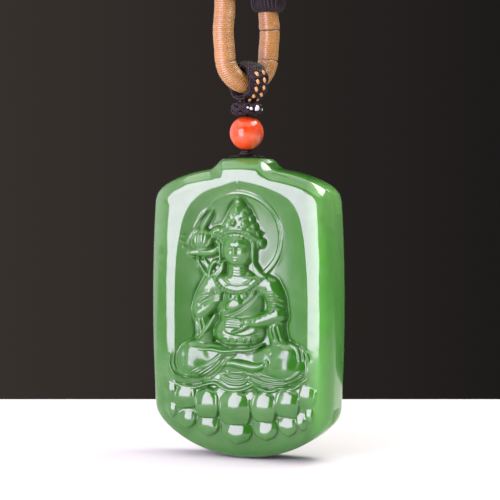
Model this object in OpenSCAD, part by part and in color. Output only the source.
// Carved jade pendant hanging on a wrapped cord loop, a bead and a long neck cord.
// Millimetres, +Z up, the carved face towards -Y. The origin is the point that the necklace hangs from.

/* [Jade plaque] */
// Widest width, across the slightly bowed sides
plaque_w = 36; // [32:0.1:41]
// Height from the bottom of the lower arc to the top of the hump
plaque_h = 55.3; // [50:0.1:62]
// Thickness from the front frame to the flat back
plaque_t = 10; // [8.6:0.1:12]
// Rounding of the front edge at the sides and the top
front_round = 3; // [2:0.1:3.4]
// Height over which the front rolls away above the lower edge
low_round = 6.2; // [4:0.1:8]
// Rounding of the back edge
back_round = 2.2; // [1.4:0.1:2.6]
// How far the sides fall in from the middle to the ends
side_bow = 1.2; // [0.4:0.1:2]
// Rise of the hump above the shoulders
hump_rise = 1.6; // [0.8:0.1:2.4]
// Width of the hump's top
hump_w = 8; // [7.2:0.1:11]
// Width of the slope on each side of the hump
hump_run = 2.8; // [2:0.1:4]
// Fall of the shoulders from the middle to the corners
shoulder_fall = 3.2; // [1.5:0.1:5]
// Rise of the lower arc from the middle to the corners
arc_rise = 4.9; // [3:0.1:7]
// Height of the rounded upper corners
top_corner = 5.2; // [4.4:0.1:7]
// Height of the rounded lower corners
low_corner = 4.6; // [4.2:0.1:7]

/* [Carving] */
// Depth of the niche floor below the frame
niche_depth = 2.4; // [1.6:0.1:2.8]
// Depth of the ground under the lotus throne
throne_sink = 0.9; // [0.4:0.1:1.4]
// Width of the flat frame between the rounded edge and the niche
frame_w = 2.4; // [1.6:0.1:3]
// Width of the sloping wall round the niche
wall_run = 1.1; // [0.8:0.1:1.5]
// Height of the round shoulders of the niche arch
arch_shoulder = 8.5; // [6:0.1:11]
// Rise of the small point in the middle of the niche arch
arch_point = 1.1; // [0.4:0.1:1.6]
// Width of that point
arch_point_w = 2.2; // [1.6:0.1:3]
// Radius of the halo ring
halo_r = 8.2; // [7:0.1:9]
// Width of the halo ring
halo_w = 1; // [0.8:0.1:1.4]
// Half the width of the lotus throne
throne_r = 12; // [11:0.1:12.8]

/* [Thread and bead] */
// Diameter of the thin thread
thread_d = 0.7; // [0.5:0.05:0.9]
// Diameter of the tunnel drilled for the thread in the hump
tunnel_d = 1.3; // [1.1:0.05:1.6]
// Distance of each tunnel mouth from the middle of the hump
mouth_x = 3.2; // [2.6:0.1:3.4]
// Depth where the two tunnel bores meet
tunnel_depth = 3.6; // [3:0.1:5]
// How far outside each mouth the thread turns over
thread_reach = 0.72; // [0.6:0.02:0.9]
// Diameter of the small knot between bead and plaque
knot_d = 2.2; // [1.8:0.1:2.6]
// Height of the small knot
knot_h = 1.1; // [0.9:0.05:1.4]
// Diameter of the bead
bead_d = 6.3; // [5:0.1:8]
// Diameter of the bead's bore
bead_bore = 1.2; // [1.1:0.05:2]

/* [Collar and ring] */
// Outer diameter of the knotted collar
collar_d = 5.6; // [4.6:0.1:7]
// Height of the knotted collar
collar_h = 2.4; // [1.8:0.1:3.4]
// Outer diameter of the woven ring
ring_d = 7.5; // [7:0.1:9]
// Width of the woven ring along the cord
ring_w = 3.8; // [3:0.1:4.4]
// Diameter of the ring's bore
ring_bore = 4.8; // [4.7:0.05:5.4]
// Height of the ring's axis above the lowest point of the loop's centre line
ring_rise = 0.3; // [0.2:0.05:0.4]

/* [Cords] */
// Diameter of the thread-wrapped loop
wrap_d = 3.8; // [3:0.1:3.9]
// Free height of the shorter leg above the ring's axis
leg_h = 12.8; // [11:0.1:16]
// Diameter of the braided neck cord
neck_d = 3.8; // [3:0.1:4.4]
// Diameter of the ridged end knots
end_knot_d = 6.9; // [5.6:0.1:8]
// Length of the ridged end knots
end_knot_h = 9.6; // [8:0.1:12]
// Depth that the wrapped loop goes into each end knot
socket = 2; // [1:0.1:3]
// Diameter of the closing sleeve behind the neck
sleeve_d = 7; // [6:0.1:8]

/* [Hidden] */
$fn = 64;

// Small gaps: between pieces that rest on each other, and round a thread or cord in its hole
seat_gap = 0.05;
bore_gap = 0.05;
// How far the thread's straight stretches run past their corners
thread_lap = thread_d / 3;
// Rounded ends of the knots: a share of the small knot's height, and of the end knots' diameter
knot_edge = 0.4;
end_knot_edge = 0.17;

// Route of the left neck strand, from its end knot up to the closing sleeve
left_route = [
  [-2.7, -4.2, -199], [-2.7, -4.2, -192], [-3.1, -4.1, -184], [-3.9, -4, -175], [-5, -3.8, -165],
  [-6.2, -3.5, -155], [-7.4, -3.3, -145], [-8.6, -3, -135], [-9.9, -2.8, -125], [-11.1, -2.5, -115],
  [-12.4, -2.2, -105], [-13.6, -2, -95], [-14.9, -1.7, -85], [-16.1, -1.4, -75], [-17.4, -1.2, -65],
  [-18.6, -0.9, -55], [-19.9, -0.6, -45], [-21.1, -0.3, -35], [-22.4, -0.1, -26], [-23.5, 0, -18],
  [-24, 0, -12], [-24, 0, -6], [-22.7, 0, -1.3], [-19.3, 0, 2.2], [-15, 0, 3.5]];
// Route of the right neck strand, which starts a little lower
right_route = [
  [2.7, 4.2, -201], [2.7, 4.2, -193], [3.1, 4.1, -184], [3.9, 4, -175], [5, 3.8, -165],
  [6.2, 3.5, -155], [7.4, 3.3, -145], [8.6, 3, -135], [9.9, 2.8, -125], [11.1, 2.5, -115],
  [12.4, 2.2, -105], [13.6, 2, -95], [14.9, 1.7, -85], [16.1, 1.4, -75], [17.4, 1.2, -65],
  [18.6, 0.9, -55], [19.9, 0.6, -45], [21.1, 0.3, -35], [22.4, 0.1, -26], [23.5, 0, -18],
  [24, 0, -12], [24, 0, -6], [22.7, 0, -1.3], [19.3, 0, 2.2], [15, 0, 3.5]];
cord_sides = 8;

// The wrapped loop's legs hang straight below the first points of the two strands
left_foot = left_route[0];
right_foot = right_route[0];
sleeve_end = right_route[len(right_route) - 1];
loop_r = norm([right_foot[0], right_foot[1]]);
loop_turn = atan2(right_foot[1], right_foot[0]);

// Levels, from the end knots down to the bottom of the plaque
pivot_z = right_foot[2] - end_knot_h - leg_h;
collar_top = pivot_z - ring_d / 2 - seat_gap;
bead_top = collar_top - collar_h - seat_gap;
bead_z = bead_top - bead_d / 2;
knot_top = bead_z - bead_d / 2;
hump_top = knot_top - knot_h - thread_d / 2;
plaque_z = hump_top - plaque_h;
core_top = collar_top - collar_h / 2;

// Grid of the carved face: steps across and up, and the steps of the rounded edge
steps_u = 50;
steps_v = 76;
edge_steps = [0, 0.08, 0.3, 0.62];

// Smooth step from 0 to 1
function smooth(x) = let (c = min(1, max(0, x))) c * c * (3 - 2 * c);
function lerp(a, b, t) = a + (b - a) * t;

// Outline of the plaque: s runs from -1 to 1 across, v is the height above the lowest point
function half_w(v) = plaque_w / 2 - side_bow * pow(2 * v / plaque_h - 1, 2);
function corner(s, n) = 1 - pow(max(0, 1 - pow(min(1, abs(s)), n)), 1 / n);
function low_edge(s) = arc_rise * s * s + low_corner * corner(s, 3);
function hump(s) = hump_rise * smooth((hump_w / 2 + hump_run - abs(s) * plaque_w / 2) / hump_run);
function high_edge(s) = plaque_h - hump_rise + hump(s) - shoulder_fall * s * s - top_corner * corner(s, 5);
function slope(a, b) = 1 / norm([1, (b - a) / (0.02 * plaque_w)]);
function low_slope(s) = slope(low_edge(s - 0.02), low_edge(s + 0.02));
function high_slope(s) = slope(high_edge(s - 0.02), high_edge(s + 0.02));
function near(d, reach) = max(0, 1 - d / reach);
function edge_closeness(s, v, low, high, low_c, high_c) = min(1, norm([
  near((1 - abs(s)) * half_w(v), front_round),
  near((high - v) * high_c, front_round),
  near((v - low) * low_c, low_round)]));
function rolled(c) = front_round * (1 - sqrt(max(0, 1 - c * c)));

// Niche: an arch with a small point, open downwards to the throne's lower arc
niche_hw = plaque_w / 2 - front_round - frame_w;
niche_top = plaque_h - front_round - frame_w;
throne_low = 0.05 * plaque_h;
throne_lift = 0.1 * plaque_h;
function niche_roof(u) = let (a = min(1, abs(u) / niche_hw))
  niche_top - arch_shoulder * (1 - pow(1 - pow(a, 4), 0.25)) + arch_point * exp(-pow(2 * u / arch_point_w, 2));
function throne_floor(u) = throne_low + throne_lift * pow(u / throne_r, 2);
function niche_in(u, v) = min(
  smooth((niche_hw - abs(u)) / wall_run),
  smooth((niche_roof(u) - v) / wall_run),
  smooth((v - throne_floor(u)) / wall_run));
ground_start = 0.2;
ground_run = 0.2;
function ground(v) = lerp(throne_sink, niche_depth, smooth((v / plaque_h - ground_start) / ground_run));

// Figure and flower, as rounded strokes. Columns: start across, start height, end across, end height,
// start radius, end radius, rise. Places across and radii are shares of plaque_w, heights of plaque_h,
// and the rise is a share of the depth of the ground there, so 1 comes level with the frame.
FIGURE = [
  [0, 0.68, 0, 0.723, 0.078, 0.1, 0.98],          // head
  [0, 0.76, 0.003, 0.837, 0.112, 0.05, 0.95],     // crown
  [0.135, 0.718, 0.135, 0.722, 0.026, 0.026, 0.75], // right ear
  [-0.115, 0.72, -0.115, 0.724, 0.024, 0.024, 0.75], // left ear
  [-0.102, 0.7, -0.102, 0.624, 0.026, 0.03, 0.65], // left lock
  [0.111, 0.69, 0.122, 0.615, 0.028, 0.03, 0.65], // right lock
  [0, 0.637, 0, 0.608, 0.058, 0.062, 0.7],        // neck
  [-0.145, 0.586, 0.157, 0.584, 0.066, 0.066, 0.84], // shoulders
  [0, 0.56, 0, 0.434, 0.145, 0.125, 0.88],        // torso
  [-0.168, 0.579, -0.233, 0.5, 0.058, 0.057, 0.86], // left upper arm
  [-0.227, 0.495, -0.115, 0.53, 0.052, 0.036, 1], // left forearm
  [-0.23, 0.47, -0.2, 0.4, 0.045, 0.05, 0.74],    // left sleeve
  [0.176, 0.579, 0.208, 0.492, 0.058, 0.06, 0.86], // right upper arm
  [0.2, 0.47, -0.045, 0.454, 0.05, 0.036, 1.05],  // right forearm
  [0.21, 0.443, 0.233, 0.389, 0.045, 0.05, 0.74], // right sleeve
  [-0.085, 0.409, 0.085, 0.409, 0.07, 0.07, 0.85], // waist
  [-0.301, 0.324, -0.1, 0.349, 0.102, 0.085, 1.08], // left knee
  [0.315, 0.325, 0.1, 0.347, 0.102, 0.085, 1.08], // right knee
  [-0.17, 0.286, 0.185, 0.286, 0.066, 0.066, 1],  // lap
  [-0.068, 0.326, 0.128, 0.328, 0.034, 0.032, 1.16], // foot
  [-0.33, 0.252, -0.017, 0.236, 0.034, 0.034, 0.95], // left hem
  [-0.017, 0.236, 0.375, 0.256, 0.034, 0.034, 0.95], // right hem
  [-0.244, 0.72, -0.18, 0.734, 0.072, 0.064, 0.85], // lotus flower
  [-0.222, 0.778, -0.159, 0.832, 0.036, 0.017, 0.7], // standing petal
  [-0.3, 0.684, -0.296, 0.684, 0.03, 0.03, 0.7],  // outer petal
  [-0.2, 0.682, -0.13, 0.706, 0.026, 0.024, 0.7], // inner petal
  [-0.293, 0.622, -0.21, 0.622, 0.02, 0.018, 0.5], // curled leaf
  [-0.137, 0.65, -0.135, 0.64, 0.032, 0.03, 0.6], // bud
  [-0.241, 0.665, -0.185, 0.608, 0.018, 0.018, 0.55], // stem
  [-0.185, 0.608, -0.131, 0.532, 0.018, 0.018, 0.65]]; // stem to the hand
// Petal rows of the throne. Columns: middle height, side lift, half height, rise, taper towards the tip.
// The first three are shares of plaque_h, and the rise is a share of the ground's depth.
PETAL_ROWS = [
  [0.172, 0.036, 0.057, 1.35, 0.3],
  [0.085, 0.065, 0.035, 1.2, -0.3]];
throne_top = 0.24;
petal_turn = 30;
petal_sides = 3;
knee_top = 0.4;
petal_fill = 0.29;
petal_side_fill = 0.42;
halo_u = -0.011 * plaque_w;
halo_v = 0.74 * plaque_h;
halo_rise = 0.16;

function stroke(p, f) = let (
  a = [f[0] * plaque_w, f[1] * plaque_h], b = [f[2] * plaque_w, f[3] * plaque_h], d = b - a,
  t = min(1, max(0, (p - a) * d / max(0.01, d * d))), r = lerp(f[4], f[5], t) * plaque_w,
  q = norm(p - a - t * d) / r) q < 1 ? f[6] * (1 - q * q * q) : 0;
function petal(p, row, i) = let (
  turn = i * petal_turn, up = (p[1] - (row[0] + row[1] * pow(sin(turn), 2)) * plaque_h) / (row[2] * plaque_h),
  half = petal_fill * throne_r * max(petal_side_fill, cos(turn)) * (1 - row[4] * max(-1, min(1, up))),
  q = norm([(p[0] - throne_r * sin(turn)) / half, up])) q < 1 ? row[3] * (1 - q * q * q) : 0;
function halo(p) = halo_rise * exp(-pow(2 * (norm(p - [halo_u, halo_v]) - halo_r) / halo_w, 2));
function carving(p) = max(concat(
  [halo(p)],
  [for (f = FIGURE) stroke(p, f)],
  p[1] > throne_top * plaque_h ? [] : [for (row = PETAL_ROWS, i = [-petal_sides:petal_sides]) petal(p, row, i)]));

// Depth of the carved face behind the plane of the frame
function face_depth(s, u, v, low, high, low_c, high_c) = let (
  c = edge_closeness(s, v, low, high, low_c, high_c), inside = niche_in(u, v),
  cut = inside > 0 || v < knee_top * plaque_h ? ground(v) * (inside - carving([u, v])) : 0)
  rolled(c) + cut * (1 - c * c);

// Steps from -1 to 1 across, and from 0 to 1 up, closer together at the rounded edge
edge_u = front_round / (plaque_w / 2);
edge_v = front_round / plaque_h;
across = concat([for (e = edge_steps) -1 + e * edge_u],
  [for (i = [0:steps_u]) (1 - edge_u) * (2 * i / steps_u - 1)],
  [for (i = [3:-1:0]) 1 - edge_steps[i] * edge_u]);
up = concat([for (e = edge_steps) e * edge_v],
  [for (j = [0:steps_v]) edge_v + (1 - 2 * edge_v) * j / steps_v],
  [for (j = [3:-1:0]) 1 - edge_steps[j] * edge_v]);
cols = len(across);
rows = len(up);

function face_points() = [for (t = up, s = across) let (
  low = low_edge(s), high = high_edge(s), v = lerp(low, high, t), u = s * half_w(v))
  [u, face_depth(s, u, v, low, high, low_slope(s), high_slope(s)) - plaque_t / 2, v]];

// Indices of the face's rim, once round
rim = concat([for (i = [0:cols - 2]) i],
  [for (j = [0:rows - 2]) j * cols + cols - 1],
  [for (i = [cols - 1:-1:1]) (rows - 1) * cols + i],
  [for (j = [rows - 1:-1:1]) j * cols]);
// Rings behind the face: inset and distance from the back, as shares of back_round
BACK_RINGS = [[0, 1], [0.293, 0.293], [1, 0]];

function ring_points(face, ring) = let (n = len(rim)) [for (k = [0:n - 1]) let (
  here = face[rim[k]], ahead = face[rim[(k + 1) % n]], behind = face[rim[(k + n - 1) % n]],
  run = [ahead[0] - behind[0], ahead[2] - behind[2]], side = [-run[1], run[0]] / max(0.001, norm(run)))
  [here[0] + side[0] * ring[0] * back_round, plaque_t / 2 - ring[1] * back_round,
   here[2] + side[1] * ring[0] * back_round]];

module plaque_body() {
  face = face_points();
  n = len(rim);
  first = len(face);
  rings = [for (r = BACK_RINGS) ring_points(face, r)];
  points = concat(face, rings[0], rings[1], rings[2]);
  // Each cell is split along the diagonal that crosses less of a slope
  front_faces = [for (j = [0:rows - 2], i = [0:cols - 2])
    let (a = j * cols + i, b = a + 1, c = a + cols, d = c + 1)
    each abs(face[a][1] - face[d][1]) < abs(face[b][1] - face[c][1])
      ? [[a, c, d], [a, d, b]] : [[a, c, b], [b, c, d]]];
  flank_faces = [for (k = [0:n - 1]) let (m = (k + 1) % n)
    each [[rim[k], rim[m], first + m], [rim[k], first + m, first + k]]];
  back_faces = [for (r = [0:1], k = [0:n - 1]) let (a = first + r * n, m = (k + 1) % n)
    each [[a + k, a + m, a + n + m], [a + k, a + n + m, a + n + k]]];
  lid = [[for (k = [0:n - 1]) first + 2 * n + k]];
  polyhedron(points, concat(front_faces, flank_faces, back_faces, lid), convexity = 6);
}

// A straight round rod between two points
module rod(a, b, d) {
  run = b - a;
  translate(a) rotate([0, acos(run[2] / norm(run)), atan2(run[1], run[0])]) cylinder(h = norm(run), d = d);
}

// The same rod made longer at both ends
module long_rod(a, b, d, more) {
  ahead = (b - a) / norm(b - a);
  rod(a - ahead * more, b + ahead * more, d);
}

// Two bores that meet inside the hump
module tunnel() {
  for (side = [-1, 1])
    long_rod([0, 0, plaque_h - tunnel_depth], [side * mouth_x, 0, plaque_h], tunnel_d, tunnel_d);
}

module jade_plaque() {
  color([0.36, 0.62, 0.31]) translate([0, 0, plaque_z]) difference() {
    plaque_body();
    tunnel();
  }
}

// Profile of a post with rounded ends, standing on z = 0
module post_profile(d, h, edge) {
  square([d / 2 - edge, h]);
  translate([0, edge]) square([d / 2, h - 2 * edge]);
  for (z = [edge, h - edge]) translate([d / 2 - edge, z]) circle(r = edge);
}

module bail_thread() {
  meet = [0, 0, hump_top - tunnel_depth];
  knot_foot = knot_top - knot_h;
  color([0.2, 0.14, 0.2]) {
    translate([0, 0, knot_foot]) rotate_extrude() post_profile(knot_d, knot_h, knot_h * knot_edge);
    translate([0, 0, knot_foot + knot_h / 2]) cylinder(h = core_top - knot_foot - knot_h / 2, d = thread_d);
    for (side = [-1, 1]) {
      mouth = [side * mouth_x, 0, hump_top];
      turn = mouth + (mouth - meet) / norm(mouth - meet) * thread_reach;
      long_rod(meet, turn, thread_d, thread_lap);
      long_rod([side * thread_d, 0, knot_foot + knot_h / 2], turn, thread_d, thread_lap);
    }
  }
}

module coral_bead() {
  color([0.93, 0.33, 0.18]) translate([0, 0, bead_z]) difference() {
    sphere(d = bead_d);
    cylinder(h = bead_d * 2, d = bead_bore, center = true);
  }
}

// Profile of a band of thread rows: a flat inner wall at inner_r and round rows out to outer_r
module thread_band(inner_r, outer_r, h, count) {
  row = h / count;
  translate([inner_r, -h / 2 + row / 2]) square([outer_r - row / 2 - inner_r, h - row]);
  for (i = [0:count - 1]) {
    translate([outer_r - row / 2, -h / 2 + row * (i + 0.5)]) circle(d = row);
    translate([inner_r, -h / 2 + row * (i + 0.25)]) square([outer_r - row / 2 - inner_r, row / 2]);
  }
}

module thread_collar() {
  color([0.22, 0.17, 0.24]) translate([0, 0, collar_top - collar_h / 2])
    rotate_extrude() thread_band(thread_d / 2 + bore_gap, collar_d / 2, collar_h, 2);
}

module ring_knot() {
  color([0.24, 0.18, 0.26]) translate([0, 0, pivot_z]) rotate([0, 90, loop_turn])
    rotate_extrude() thread_band(ring_bore / 2, ring_d / 2, ring_w, 4);
}

module wrapped_loop() {
  arc_z = pivot_z - ring_rise + loop_r;
  color([0.8, 0.55, 0.3]) translate([0, 0, arc_z]) rotate([0, 0, loop_turn]) {
    rotate([-90, 0, 0]) rotate_extrude(angle = 180) translate([loop_r, 0]) circle(d = wrap_d);
    for (foot = [[-1, left_foot[2]], [1, right_foot[2]]])
      translate([foot[0] * loop_r, 0, 0])
        cylinder(h = foot[1] - end_knot_h + socket - arc_z, d = wrap_d);
  }
}

module end_knot(foot) {
  color([0.2, 0.15, 0.22]) translate([foot[0], foot[1], foot[2] - end_knot_h]) difference() {
    rotate_extrude() post_profile(end_knot_d, end_knot_h, end_knot_d * end_knot_edge);
    translate([0, 0, -1]) cylinder(h = socket + 1 + seat_gap, d = wrap_d + 2 * bore_gap);
  }
}

module end_knot_left() { end_knot(left_foot); }
module end_knot_right() { end_knot(right_foot); }

// A round tube swept along a route that never runs along Y
module cord_tube(route, d) {
  n = len(route);
  rings = [for (k = [0:n - 1]) let (
    run = route[min(n - 1, k + 1)] - route[max(0, k - 1)],
    ahead = k == 0 ? [0, 0, 1] : k == n - 1 ? [-sign(route[k][0]), 0, 0] : run / norm(run),
    side = cross(ahead, [0, 1, 0]), x = side / norm(side), y = cross(ahead, x))
    [for (i = [0:cord_sides - 1]) let (a = 360 * i / cord_sides) route[k] + d / 2 * (cos(a) * x + sin(a) * y)]];
  wall = [for (k = [0:n - 2], i = [0:cord_sides - 1]) let (m = (i + 1) % cord_sides, a = k * cord_sides)
    each [[a + i, a + cord_sides + i, a + cord_sides + m], [a + i, a + cord_sides + m, a + m]]];
  start = [[for (i = [0:cord_sides - 1]) i]];
  end = [[for (i = [cord_sides - 1:-1:0]) (n - 1) * cord_sides + i]];
  polyhedron([for (r = rings) each r], concat(wall, start, end), convexity = 4);
}

module neck_cord_left() { color([0.2, 0.15, 0.22]) cord_tube(left_route, neck_d); }
module neck_cord_right() { color([0.2, 0.15, 0.22]) cord_tube(right_route, neck_d); }

module nape_sleeve() {
  color([0.78, 0.54, 0.3]) translate([0, 0, sleeve_end[2]]) rotate([0, 90, 0])
    cylinder(h = 2 * sleeve_end[0], d = sleeve_d, center = true);
}

jade_plaque();
bail_thread();
coral_bead();
thread_collar();
ring_knot();
wrapped_loop();
end_knot_left();
end_knot_right();
neck_cord_left();
neck_cord_right();
nape_sleeve();
